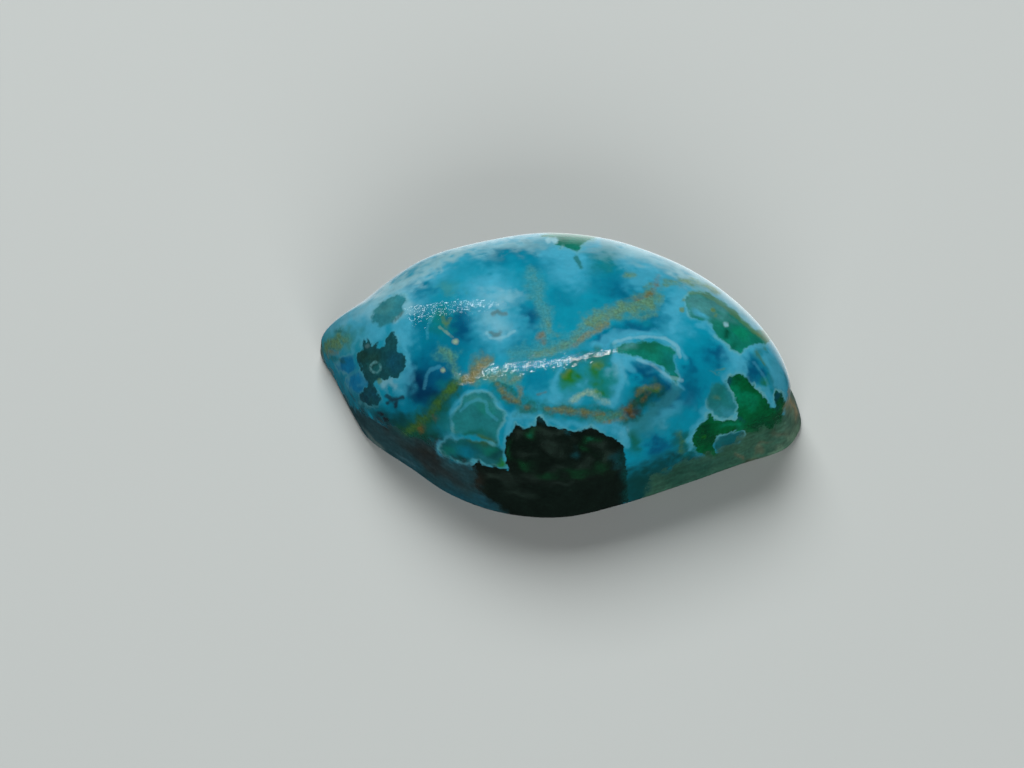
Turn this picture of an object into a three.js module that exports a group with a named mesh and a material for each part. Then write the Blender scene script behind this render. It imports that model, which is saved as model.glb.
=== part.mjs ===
// A freeform chrysocolla cabochon: one piece of mineral, sawn flat underneath, with a ground
// side wall and a polished dome. It lies on its flat back.
// Millimetres, +Z up, +X along the length. The origin is under the middle of the flat back.
import * as THREE from "three";

// Driving dimensions
const HEIGHT = 9.0; // flat back to crown
const BEVEL = 0.3; // worn edge round the flat back
const GIRDLE = { tip: 1.4, body: 3.2 }; // height of the side wall
const WALL_LEAN = { tip: 0.1, body: 0.5, heel: 0.9 }; // how far the wall leans in on its way up
const SHOULDER = { tip: 1.5, body: 2.5 }; // larger is a fuller shoulder
const CROWN_POWER = 2.5; // larger is a flatter crown
const CROWN_AT = [0.0, 0.3]; // where the dome is highest, seen from above
const CONTOUR_EASE = 1.6; // larger rounds off the dome's contours sooner on the way up
const CHIP = { depth: 0.22, pitch: 1.9 }; // broken surface of the unpolished heel

// The edge of the flat back, seen from above, anticlockwise from the heel (the blunt right end).
const OUTLINE = [
  [14.9, -1.9], [14.3, 0.2], [12.8, 2.6], [10.35, 5.0], [7.1, 7.1], [3.2, 8.7],
  [-1.2, 9.2], [-5.5, 8.4], [-9.9, 6.8], [-13.2, 4.7], [-15.1, 3.2], [-14.1, 0.8],
  [-12.8, -2.0], [-11.8, -3.6], [-9.4, -5.5], [-6.8, -7.5], [-3.6, -8.8], [0.0, -9.1],
  [3.6, -8.2], [7.6, -6.7], [11.0, -5.3], [13.6, -4.3], [14.6, -3.2],
];
const CORNER_REACH = 2; // outline points on each side that round off a corner of the outline
const TIP_ENDS = { from: -15, to: -8 }; // the thin left tip grows into the body between these lengths
const HEEL_STARTS = { from: 8, to: 15 }; // and the heel starts between these

// How finely the faces are divided
const ROUND = 120; // steps round the outline
const WALL_STEPS = 4;
const DOME_STEPS = 18;

const { smoothstep, lerp } = THREE.MathUtils;
const crown = new THREE.Vector2(...CROWN_AT);

function closedCurve(points) {
  const places = points.map(([x, y]) => new THREE.Vector3(x, y, 0));
  return new THREE.CatmullRomCurve3(places, true, "catmullrom", 0.5);
}

// The outline with its corners rounded off: each point is the mean of itself and its neighbours.
function rounded(points) {
  const near = 2 * CORNER_REACH + 1;
  return points.map((_, at) => {
    const mean = [0, 0];
    for (let k = 0; k < near; k++) {
      const [x, y] = points.at((at + k - CORNER_REACH) % points.length);
      mean[0] += x / near;
      mean[1] += y / near;
    }
    return mean;
  });
}

const outline = closedCurve(OUTLINE);
const roundedOutline = closedCurve(rounded(OUTLINE));

// Everything that changes round the stone, at one step round its outline.
function station(step) {
  const share = (step % ROUND) / ROUND;
  const edge = outline.getPoint(share);
  const round = roundedOutline.getPoint(share);
  const body = smoothstep(edge.x, TIP_ENDS.from, TIP_ENDS.to);
  const heel = smoothstep(edge.x, HEEL_STARTS.from, HEEL_STARTS.to);
  return {
    edge: new THREE.Vector2(edge.x, edge.y),
    round: new THREE.Vector2(round.x, round.y),
    heel,
    girdle: lerp(GIRDLE.tip, GIRDLE.body, body),
    lean: lerp(WALL_LEAN.tip, WALL_LEAN.body, body) + (WALL_LEAN.heel - WALL_LEAN.body) * heel,
    shoulder: lerp(SHOULDER.tip, SHOULDER.body, body),
  };
}

// A point moved from the outline towards the crown by some millimetres.
function inset(edge, depth) {
  const inward = crown.clone().sub(edge);
  return edge.clone().addScaledVector(inward.normalize(), depth);
}

// Depth of the chips on the heel's broken wall.
function chipDepth(point, height, heel) {
  const turn = (2 * Math.PI) / CHIP.pitch;
  const wave = Math.sin(turn * point.y + 2 * height) * Math.sin(turn * 0.6 * (point.x - height));
  return CHIP.depth * heel * (0.5 + 0.5 * wave);
}

// The worn edge of the flat back.
function backPoint(s) {
  const plan = inset(s.edge, BEVEL);
  return new THREE.Vector3(plan.x, plan.y, 0);
}

// The side wall, at a share of its height from 0 at the worn edge to 1 at the girdle.
function wallPoint(s, share) {
  const height = lerp(BEVEL, s.girdle, share);
  const chipped = chipDepth(s.edge, height, s.heel) * Math.sin(Math.PI * share);
  const plan = inset(s.edge, s.lean * share + chipped);
  return new THREE.Vector3(plan.x, plan.y, height);
}

// The dome, at a share of the way from 0 at the girdle to 1 at the crown.
function domePoint(s, share) {
  const rise = (share * Math.PI) / 2;
  const reach = share < 1 ? Math.cos(rise) ** (2 / CROWN_POWER) : 0;
  const shoulder = lerp(SHOULDER.body, s.shoulder, reach ** 2);
  const height = lerp(s.girdle, HEIGHT, Math.sin(rise) ** (2 / shoulder));
  const contour = s.round.clone().lerp(inset(s.edge, s.lean), reach ** CONTOUR_EASE);
  const plan = crown.clone().lerp(contour, reach);
  return new THREE.Vector3(plan.x, plan.y, height);
}

// The rings of the stone, from the middle of its back, up the wall and over the dome.
const RINGS = [() => new THREE.Vector3(0, 0, 0), backPoint];
for (let i = 0; i <= WALL_STEPS; i++) RINGS.push((s) => wallPoint(s, i / WALL_STEPS));
for (let i = 1; i <= DOME_STEPS; i++) RINGS.push((s) => domePoint(s, i / DOME_STEPS));

// A lathe gives the closed net of rings, and each ring is then laid round the stone.
function stoneGeometry() {
  const last = RINGS.length - 1;
  const net = RINGS.map((_, ring) => new THREE.Vector2(ring % last === 0 ? 0 : 1, ring));
  const geometry = new THREE.LatheGeometry(net, ROUND);
  const position = geometry.getAttribute("position");
  for (let step = 0; step <= ROUND; step++) {
    const s = station(step);
    RINGS.forEach((place, ring) => {
      const point = place(s);
      position.setXYZ(step * RINGS.length + ring, point.x, point.y, point.z);
    });
  }
  geometry.deleteAttribute("uv");
  geometry.computeBoundingBox();
  const middle = geometry.boundingBox.getCenter(new THREE.Vector3());
  geometry.translate(-middle.x, -middle.y, 0);
  geometry.computeVertexNormals();
  return geometry;
}

const chrysocolla = new THREE.MeshStandardMaterial({ color: 0x1f86a8, roughness: 0.2, metalness: 0 });
const stone = new THREE.Mesh(stoneGeometry(), chrysocolla);
stone.name = "chrysocolla_stone";

const specimen = new THREE.Group();
specimen.add(stone);
export default specimen;
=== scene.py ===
import math
import bpy
import numpy as np
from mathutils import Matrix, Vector


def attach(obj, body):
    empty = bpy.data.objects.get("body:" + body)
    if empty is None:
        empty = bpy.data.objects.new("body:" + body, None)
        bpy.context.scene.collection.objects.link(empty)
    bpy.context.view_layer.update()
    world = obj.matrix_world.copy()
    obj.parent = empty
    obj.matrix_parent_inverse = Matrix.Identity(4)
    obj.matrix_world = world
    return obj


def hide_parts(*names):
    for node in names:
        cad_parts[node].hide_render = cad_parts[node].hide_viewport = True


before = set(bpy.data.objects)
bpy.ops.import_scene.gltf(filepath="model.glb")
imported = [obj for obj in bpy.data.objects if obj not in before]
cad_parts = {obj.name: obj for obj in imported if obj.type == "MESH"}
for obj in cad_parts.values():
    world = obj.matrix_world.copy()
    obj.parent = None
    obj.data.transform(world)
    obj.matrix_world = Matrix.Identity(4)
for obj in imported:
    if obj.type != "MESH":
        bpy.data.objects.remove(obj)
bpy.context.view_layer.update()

MM = 0.001
SEED = 7

# Shape of the stone, in millimetres
HEIGHT = 9.0
BEVEL = 0.3
GIRDLE = {"tip": 1.4, "body": 3.2}
WALL_LEAN = {"tip": 0.1, "body": 0.5, "heel": 0.9}
SHOULDER = {"tip": 1.5, "body": 2.5}
CROWN_POWER = 2.5
CROWN_AT = (0.0, 0.3)
CONTOUR_EASE = 1.6
OUTLINE = [
    (14.9, -1.9), (14.3, 0.2), (12.8, 2.6), (10.35, 5.0), (7.1, 7.1), (3.2, 8.7),
    (-1.2, 9.2), (-5.5, 8.4), (-9.9, 6.8), (-13.2, 4.7), (-15.1, 3.2), (-14.1, 0.8),
    (-12.8, -2.0), (-11.8, -3.6), (-9.4, -5.5), (-6.8, -7.5), (-3.6, -8.8), (0.0, -9.1),
    (3.6, -8.2), (7.6, -6.7), (11.0, -5.3), (13.6, -4.3), (14.6, -3.2),
]
CORNER_REACH = 2
TIP_ENDS = (-15.0, -8.0)
HEEL_STARTS = (8.0, 15.0)
ROUND = 520
BACK_STEPS = 14
BEVEL_STEPS = 4
WALL_STEPS = 24
DOME_STEPS = 120

# Marks of working on the ground faces, in millimetres
CHIP_DEPTH = 0.22
CHIP_SIZE = 1.5
FIBRE_DEPTH = 0.07
FIBRE_PITCH = 0.5
SAW_DEPTH = 0.03
SAW_PITCH = 0.9
SHELL_EDGE = 0.75  # in chip sizes, how far from its middle a chip's hollow ends
FIBRE_STRETCH = (0.12, 0.12, 1.0)  # fibres run level round the wall
CHIPS_START = (8.0, 12.5)
FIBRES_END = (-9.5, -5.0)
WALL_EDGE = (0.35, -0.15)  # heights over the girdle where the wall's marks start and are full

# How the photograph looks at the stone
VIEW_ELEVATION = math.radians(57)
VIEW_DISTANCE = 220.0
PIXELS_PER_MM = 16.0
PHOTO_MIDDLE = (512.0, 384.0)
PHOTO_ORIGIN = (559.4, 393.5)
SENSOR_WIDTH = 36.0
PHOTO_WIDTH = 1024.0
TO_VIEWER = np.array([0.0, -math.cos(VIEW_ELEVATION), math.sin(VIEW_ELEVATION)])
VIEW_RIGHT = np.array([1.0, 0.0, 0.0])
VIEW_UP = np.array([0.0, math.sin(VIEW_ELEVATION), math.cos(VIEW_ELEVATION)])
AIM = (
    VIEW_RIGHT * (PHOTO_MIDDLE[0] - PHOTO_ORIGIN[0]) / PIXELS_PER_MM
    + VIEW_UP * (PHOTO_ORIGIN[1] - PHOTO_MIDDLE[1]) / PIXELS_PER_MM
)
EDGE_ON = 0.14  # a face turned further from the viewer than this counts as hidden

# The studio
PAPER_COLOUR = "#C0C5C3"
STUDIO_COLOUR = "#E6ECEC"
FLOOR_HALF = 2000.0  # millimetres
FRONT_STRIP_TURN = math.radians(20.5)
BACK_GLOW = (0.22, 0.81, -0.54)  # the way to the pale glow behind the stone
GLOW_SPREAD = (0.80, 1.0)  # cosines from where the glow starts to its middle
GLOW_STRENGTH = (0.04, 1.7)  # strength of the dark studio and of the glow's middle

# Grain in the stone: size in millimetres, and how many finer waves lie in it
GRAINS = {
    "cloudy": (0.9, 4.0),
    "patchy": (1.3, 2.0),
    "scallop": (0.42, 2.0),
    "sandy": (0.22, 3.0),
    "grainy": (0.14, 2.0),
    "dusty": (0.7, 6.0),
}
NOISE_SPAN = (0.25, 0.75)  # where nearly all the values of a noise lie
CLEAR_SPAN = (0.38, 0.62)  # dusty values that pass from the near ground to the one beneath
RIM_SPAN = (0.35, 0.6)  # patchy values that pass from faint rims to full ones
FAINT_RIM = 0.2
GAP_SPAN = (0.38, 0.58)  # scallop values that pass from a layer's gaps to its full cover
GROUND_MOTTLE = {"cloudy": 0.09, "sandy": 0.04}
WALL_FIBRE = 0.25  # millimetres
WALL_FIBRE_STRETCH = (0.2, 0.2, 1.0)
# Waves that make soft marks drift, each with its pitch and reach in millimetres: near the surface and deep.
NEAR_DRIFT = [(2.2, 0.22), (0.8, 0.12)]
DEEP_DRIFT = [(1.1, 0.26), (0.6, 0.16)]

# Finish of the stone
STONE_IOR = 1.50
POLISH_ROUGHNESS = 0.06
PIT_SIZE = 0.24  # millimetres, as the depth is
PIT_DEPTH = 0.03
PIT_STRENGTH = (0.05, 0.40)  # on the smooth end and on the pitted one
RIM_FADE = (-0.14, 0.05)  # millimetres outside and inside a rim's own edge

# Pigments, as sRGB
PIGMENT = {
    "mid blue": "#0489A4",
    "sea blue": "#01728E",
    "deep blue": "#014C70",
    "ink blue": "#012E50",
    "pale blue": "#44A4C0",
    "milk": "#90C2CE",
    # Painted reflection of the pale glow behind the stone, laid along its far edge.
    "painted edge reflection": "#9EBCBC",
    "rim": "#66AAB0",
    "disc blue": "#0272A0",
    "teal": "#0A7478",
    "dark teal": "#083A38",
    "grey teal": "#2C7C88",
    "growth teal": "#1C767A",
    "growth shade": "#0C585C",
    "basin teal": "#1E8288",
    "sandy teal": "#408A82",
    "dusty sand": "#3C8A92",
    "jade grey": "#44888A",
    "jade": "#0C7462",
    "jade shade": "#0C5A44",
    "emerald": "#00542E",
    "emerald light": "#04805E",
    "emerald shade": "#013C26",
    "pool teal": "#144A50",
    "pool green": "#1C443C",
    "pool blue": "#0E4A62",
    "pool black": "#0B1712",
    "pool grey": "#293A33",
    "pool mottle": "#0E4A2A",
    "grass": "#1E6C14",
    "moss": "#145038",
    "moss shade": "#0B4A3C",
    "moss teal": "#1C6860",
    "olive": "#3E6628",
    "leaf": "#62803C",
    "sand": "#528064",
    "tan": "#5E7658",
    "ochre": "#7A7038",
    "rust": "#6C5628",
    "brown": "#33271A",
    "maroon": "#1A0C14",
    "cream": "#9CB694",
    "grey": "#4E7276",
    "wall teal": "#1C4248",
    "wall grey": "#64746E",
    # Painted reflection of a dark object and painted shade, for the wall and the pool's edge at the lower
    # left.
    "painted dark reflection": "#25241F",
    "wall blue": "#0E4656",
    "heel brown": "#A08C60",
    "heel light": "#62806A",
    "heel fleck": "#5E5A44",
    "heel green": "#345E4C",
    "heel shade": "#1D4A3C",
}

# Markings, by the pixel of the photograph where each one shows.
# Rounded growths of teal chrysocolla.
UPPER_GROWTH = [
    (449, 418), (453, 412), (456, 406), (460, 400), (467, 395), (473, 393), (481, 391), (488, 394),
    (491, 399), (493, 406), (498, 411), (504, 413), (503, 419), (498, 428), (496, 436), (495, 443),
    (485, 440), (475, 436), (463, 436), (453, 430),
]
LOWER_GROWTH = [
    (437, 448), (440, 442), (447, 437), (455, 440), (461, 438), (475, 439), (485, 442), (495, 446),
    (501, 450), (504, 458), (507, 467), (503, 470), (495, 467), (485, 464), (479, 461), (471, 460),
    (463, 463), (455, 461), (445, 456),
]
RIGHT_LOBE = [
    (706, 404), (709, 410), (712, 416), (720, 418), (728, 418), (732, 413), (736, 408), (735, 401),
    (732, 394), (729, 388), (723, 383), (714, 382), (708, 388), (705, 396),
]
WALL_ISLAND = [
    (711, 446), (713, 440), (718, 433), (728, 431), (743, 430), (743, 437), (739, 444), (730, 448),
    (715, 452),
]
UPPER_DISC = (345, 364, 8.5)
LOWER_DISC = (356, 382, 9.5)
# Patches of teal, jade and brown.
GREY_TEAL_PATCH = [
    (370, 317), (374, 307), (383, 300), (394, 294), (403, 295), (405, 300), (401, 307), (403, 311),
    (392, 322), (384, 324), (377, 329), (376, 324), (371, 321),
]
JADE_CAP = [
    (540, 236), (556, 228), (582, 228), (598, 233), (593, 238), (586, 240), (580, 243), (576, 252),
    (568, 248), (559, 247), (554, 244), (556, 239),
]
RIGHT_JADE = [
    (684, 301), (688, 291), (696, 290), (706, 293), (720, 300), (732, 310), (742, 320), (750, 328),
    (764, 330), (772, 337), (764, 343), (750, 344), (744, 348), (739, 353), (733, 350), (722, 341),
    (714, 334), (710, 325), (705, 319), (696, 320), (690, 316), (686, 310),
]
MIDDLE_JADE = [
    (613, 347), (626, 342), (641, 342), (655, 341), (668, 346), (673, 352), (672, 363), (676, 376),
    (675, 382), (668, 375), (660, 366), (648, 360), (632, 355), (616, 351),
]
BROWN_PATCH = [
    (616, 412), (624, 402), (630, 393), (638, 387), (647, 381), (656, 382), (663, 388), (657, 396),
    (650, 403), (645, 410), (636, 417), (626, 421), (618, 419),
]
# Pools of dark malachite.
LEFT_POOL = [
    (393, 331), (395, 341), (396, 350), (401, 353), (405, 359), (404, 366), (399, 373), (396, 378),
    (388, 375), (385, 380), (379, 377), (374, 380), (373, 386), (379, 400), (375, 405), (366, 405),
    (359, 401), (358, 396), (363, 388), (366, 383), (360, 372), (357, 360), (355, 353), (361, 350),
    (362, 339), (365, 342), (367, 338), (370, 347), (372, 344), (375, 342), (374, 349), (381, 347),
    (384, 343), (383, 340), (388, 335),
]
BLACK_POOL = [
    (514, 424), (518, 427), (533, 426), (534, 420), (538, 417), (543, 420), (546, 426), (563, 428),
    (572, 431), (580, 430), (589, 426), (596, 430), (603, 434), (613, 438), (619, 442), (623, 452),
    (626, 470), (626, 500), (590, 526), (520, 526), (494, 510), (476, 498), (467, 482), (470, 467),
    (472, 462), (477, 461), (481, 464), (496, 468), (506, 470), (505, 462), (504, 456), (503, 447),
    (505, 439), (510, 432),
]
EMERALD_POOL = [
    (739, 372), (742, 377), (750, 384), (753, 388), (758, 391), (763, 398), (768, 405), (774, 408),
    (774, 401), (773, 393), (774, 389), (778, 392), (782, 398), (783, 406), (782, 413), (784, 421),
    (780, 432), (764, 442), (745, 450), (728, 456), (708, 458), (697, 453), (692, 444), (691, 437),
    (694, 430), (698, 425), (704, 421), (706, 413), (709, 414), (711, 418), (718, 421), (724, 421),
    (730, 418), (734, 420), (736, 414), (737, 406), (734, 398), (732, 392), (728, 386), (724, 381),
    (726, 378), (732, 375),
]
# A pool, a patch and a growth on the far side, which the photograph doesn't show.
FAR_POOL = [
    (446, 216), (462, 208), (478, 212), (492, 220), (508, 214), (524, 216), (540, 210), (556, 214),
    (566, 204), (558, 192), (562, 178), (548, 168), (530, 172), (516, 164), (498, 160), (482, 168),
    (466, 164), (452, 174), (456, 188), (444, 198),
]
FAR_JADE = [
    (690, 242), (704, 230), (722, 228), (740, 238), (752, 252), (772, 254), (790, 268), (796, 286),
    (780, 292), (764, 282), (748, 276), (730, 262), (712, 258), (698, 252),
]
FAR_GROWTH = [
    (586, 212), (600, 198), (618, 196), (634, 206), (650, 202), (664, 190), (668, 172), (652, 160),
    (628, 156), (606, 162), (590, 176), (578, 194),
]
# Ground faces of the side wall that the photograph shows.
LEFT_WALL = [
    (312, 344), (319, 355), (328, 371), (339, 391), (352, 407), (370, 418), (389, 428), (408, 436),
    (425, 441), (437, 455), (455, 461), (470, 465), (472, 482), (484, 499), (503, 514), (506, 545),
    (400, 500), (320, 420), (300, 340),
]
RIGHT_WALL = [
    (640, 520), (650, 478), (690, 457), (712, 453), (730, 444), (746, 433), (770, 428), (783, 421),
    (785, 404), (789, 384), (800, 370), (830, 400), (820, 450), (740, 500),
]
# The patches of each layer: pigment and outline, or for a disc its middle and radius.
GROWTHS = [
    ("growth teal", UPPER_GROWTH), ("growth shade", LOWER_GROWTH), ("growth teal", RIGHT_LOBE),
    ("growth shade", WALL_ISLAND), ("growth teal", FAR_GROWTH),
]
DISCS = [("disc blue", *UPPER_DISC), ("disc blue", *LOWER_DISC)]
SEAM_PATCHES = [("moss shade", BROWN_PATCH)]
ISLANDS = [
    ("grey teal", GREY_TEAL_PATCH), ("jade", JADE_CAP), ("jade", RIGHT_JADE), ("jade", MIDDLE_JADE),
    ("jade", FAR_JADE),
]
POOLS = [("pool teal", LEFT_POOL), ("pool black", BLACK_POOL), ("pool black", FAR_POOL)]
# Pale bands that hug the growths and pools: pigment, half width and path.
PALE_BANDS = [
    ("pale blue", 1.9, [(592, 343), (608, 338), (624, 335), (644, 334), (660, 336), (672, 342), (678, 354)]),
    ("pale blue", 1.7, [(679, 384), (668, 378), (652, 366), (634, 359), (620, 360)]),
    ("pale blue", 1.7, [(672, 324), (668, 316), (676, 306), (682, 296)]),
    ("pale blue", 1.4, [(700, 321), (708, 324), (714, 334), (724, 345), (736, 356)]),
    ("pale blue", 2.2, [(736, 356), (733, 367), (724, 375), (720, 380)]),
    ("pale blue", 1.7, [(738, 356), (744, 350), (752, 346), (764, 345), (773, 349)]),
    ("pale blue", 1.7, [(740, 362), (743, 373), (750, 381), (759, 389), (767, 403), (774, 406)]),
    ("pale blue", 2.2, [(769, 356), (778, 374), (784, 394), (785, 412)]),
    ("pale blue", 1.7, [(722, 378), (729, 390), (736, 402), (736, 412), (729, 419), (714, 418), (707, 408)]),
    ("pale blue", 1.7, [(706, 410), (700, 418), (694, 427), (689, 438), (690, 448)]),
    ("grey teal", 3.3, [(676, 386), (664, 400), (650, 412), (634, 422), (622, 428)]),
    ("pale blue", 2.2, [(546, 248), (558, 252), (568, 256), (578, 256), (586, 248), (596, 242)]),
    ("pale blue", 1.7, [(556, 364), (553, 376), (557, 389), (550, 400), (562, 404), (576, 404)]),
    ("pale blue", 2.2, [(612, 356), (620, 368), (621, 384), (616, 396), (612, 405)]),
    ("pale blue", 1.9, [(504, 440), (507, 428), (514, 416), (530, 414), (546, 419), (564, 424), (584, 421),
                        (600, 427), (614, 434), (624, 442)]),
    ("pale blue", 1.4, [(449, 420), (454, 410), (460, 399), (470, 393), (484, 390), (493, 398), (498, 410),
                        (505, 413)]),
    ("pale blue", 1.4, [(448, 458), (437, 451), (438, 443), (446, 436), (456, 439), (463, 437)]),
    ("pale blue", 1.4, [(456, 462), (470, 462), (482, 464), (498, 468), (508, 468)]),
    ("pale blue", 2.2, [(398, 330), (405, 345), (410, 362), (405, 378), (394, 382)]),
    ("pale blue", 1.7, [(378, 332), (366, 334), (356, 346)]),
]
# Dusty seams where veins run: pigment, half width and path.
SEAMS = [
    ("sand", 8, [(652, 294), (641, 303), (622, 309), (604, 316), (588, 325)]),
    ("dusty sand", 8, [(588, 326), (574, 338), (556, 346), (534, 350), (514, 356)]),
    ("dusty sand", 7, [(531, 276), (536, 294), (543, 314), (546, 332)]),
    ("moss", 8, [(402, 434), (416, 425), (430, 410), (442, 397), (454, 385)]),
    ("tan", 6, [(456, 383), (470, 375), (482, 360)]),
    ("sandy teal", 4, [(438, 351), (450, 355), (452, 368), (456, 378)]),
    ("moss teal", 8, [(496, 384), (508, 395), (520, 404), (530, 408)]),
    ("sandy teal", 8, [(480, 376), (496, 376), (512, 378)]),
    ("moss teal", 6, [(544, 409), (571, 411), (600, 414), (618, 414)]),
    ("sandy teal", 8, [(324, 346), (332, 344), (342, 338)]),
    ("sandy teal", 8, [(350, 264), (380, 246), (402, 226), (426, 214), (446, 204)]),
    ("moss teal", 8, [(700, 214), (676, 208), (660, 190), (664, 160)]),
    ("dusty sand", 8, [(556, 214), (570, 200), (572, 178), (584, 150)]),
]
# Fine veins of malachite sand and iron oxide: pigment, half width and path.
VEINS = [
    ("rust", 2.2, [(655, 278), (655, 285), (651, 292), (643, 297), (632, 301)]),
    ("sand", 5, [(646, 302), (632, 304), (618, 309), (604, 314), (590, 320)]),
    ("ochre", 2.2, [(640, 299), (626, 304), (610, 311), (596, 317)]),
    ("sand", 3, [(648, 304), (652, 311), (642, 317), (632, 314)]),
    ("ochre", 3, [(604, 325), (594, 330), (582, 336), (570, 345)]),
    ("rust", 1.6, [(602, 327), (590, 332), (578, 340)]),
    ("sand", 4, [(582, 322), (576, 332), (572, 341), (560, 346), (546, 352), (530, 354)]),
    ("ochre", 1.8, [(568, 345), (556, 348), (546, 353)]),
    ("sand", 2.4, [(546, 322), (549, 330), (556, 336)]),
    ("rust", 1.8, [(541, 333), (537, 338), (542, 342)]),
    ("ochre", 4, [(462, 380), (470, 377), (478, 371), (484, 359)]),
    ("rust", 2.4, [(470, 378), (478, 374), (482, 366)]),
    ("sand", 2.4, [(438, 350), (447, 353), (452, 360), (452, 370), (456, 378)]),
    ("olive", 4, [(458, 380), (447, 391), (438, 401), (430, 410)]),
    ("ochre", 1.4, [(452, 385), (444, 394), (438, 400)]),
    ("rust", 1.8, [(429, 414), (435, 418)]),
    ("olive", 4, [(428, 413), (417, 423), (404, 433)]),
    ("rust", 2, [(415, 424), (420, 431)]),
    ("ochre", 2.4, [(496, 385), (503, 392), (510, 398), (518, 402)]),
    ("rust", 1.8, [(503, 396), (512, 401), (526, 407)]),
    ("ochre", 1.8, [(517, 400), (519, 392), (516, 385)]),
    ("tan", 2.6, [(484, 377), (496, 376), (508, 380), (518, 377)]),
    ("ochre", 1.8, [(546, 408), (560, 410), (575, 411), (590, 413), (603, 415)]),
    ("rust", 1.2, [(550, 411), (570, 413), (586, 414)]),
    ("sand", 3.4, [(596, 417), (608, 417), (620, 412)]),
    ("ochre", 2, [(604, 421), (614, 420), (622, 416)]),
    ("cream", 1.8, [(572, 400), (579, 394), (585, 392), (592, 393), (599, 399), (608, 403)]),
    ("rust", 2, [(622, 412), (628, 404), (630, 414)]),
    ("ochre", 1.8, [(634, 395), (644, 386), (656, 387)]),
    ("rust", 1.4, [(640, 400), (648, 392)]),
    ("olive", 2.4, [(678, 432), (680, 441), (679, 450)]),
    ("leaf", 4.4, [(326, 347), (331, 341), (338, 346)]),
    ("ochre", 2.4, [(327, 350), (335, 353)]),
    ("leaf", 2.4, [(338, 334), (343, 340)]),
    ("moss", 2.2, [(334, 330), (344, 332)]),
    ("moss", 2, [(333, 357), (341, 361)]),
    ("leaf", 2.6, [(664, 281), (682, 281), (700, 284), (716, 292)]),
    ("leaf", 2.2, [(622, 275), (632, 275)]),
    ("sand", 4, [(352, 262), (380, 246), (402, 226), (426, 214)]),
    ("rust", 2, [(376, 248), (400, 228), (416, 219)]),
    ("ochre", 2.4, [(700, 214), (682, 210), (664, 194), (662, 170)]),
    ("rust", 1.8, [(690, 212), (668, 200)]),
    ("sand", 4, [(558, 212), (571, 198), (573, 178), (582, 154)]),
]
# Thin pale threads inside growths: pigment, half width and path.
THREADS = [
    ("pale blue", 1.2, [(423, 388), (424, 376), (429, 369), (438, 366)]),
    ("pale blue", 0.9, [(426, 338), (425, 328), (429, 318), (434, 313)]),
    ("leaf", 1.2, [(441, 317), (442, 322), (446, 323), (448, 318)]),
    ("cream", 0.7, [(438, 327), (445, 332), (451, 337)]),
    ("milk", 1.0, [(612, 342), (626, 338), (648, 336), (664, 338), (676, 346), (678, 356)]),
    ("milk", 1.0, [(680, 380), (666, 376), (652, 365), (636, 359)]),
    ("pale blue", 1.2, [(459, 411), (466, 403), (476, 399), (484, 402), (486, 412), (495, 419)]),
    ("milk", 1.0, [(485, 332), (488, 337), (496, 338), (506, 335), (513, 330)]),
    ("pale blue", 0.9, [(752, 362), (760, 372), (766, 384), (768, 396)]),
    ("leaf", 1.5, [(687, 292), (700, 292), (713, 299), (732, 313), (746, 326), (757, 335)]),
]
# Dots and flecks: pigment, place and radius.
SPOTS = [
    ("cream", 453.5, 341.2, 3.2), ("sand", 378, 381, 2.6), ("grey", 366, 345.7, 2.2),
    ("cream", 441.5, 369.8, 2.2), ("milk", 724, 324, 2.4), ("milk", 547, 239.6, 3.2),
    ("milk", 553, 239.8, 3.2), ("milk", 561, 246, 1.6), ("leaf", 711, 309.5, 2.4),
    ("leaf", 714, 315, 1.6), ("leaf", 680.5, 309, 3.0), ("leaf", 681, 300, 1.6),
]
# A ring: its middle and radius, and half the width of its wall.
BUBBLE = (373.6, 366.9, 5.2)
BUBBLE_WALL = 0.8
# Short dashes: pigment, half width and path.
DASHES = [
    ("grey", 2.2, [(491, 313), (495, 311), (500, 313), (504, 313)]),
    ("grey", 2.0, [(489, 332), (492, 335), (497, 334), (499, 332)]),
    ("moss teal", 2.0, [(574, 257), (577, 263), (579, 267)]),
    ("grey", 0.8, [(536, 394), (545, 391)]),
    ("grey", 1.4, [(392, 321), (397, 316), (401, 312)]),
    ("maroon", 2.0, [(385, 395), (390, 399), (395, 399), (401, 397)]),
    ("maroon", 1.6, [(395, 399), (394, 406)]),
    ("maroon", 1.4, [(390, 399), (386, 403)]),
    ("maroon", 1.8, [(377, 412), (380, 414)]),
    ("maroon", 1.8, [(383, 418), (385, 420)]),
]

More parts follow.
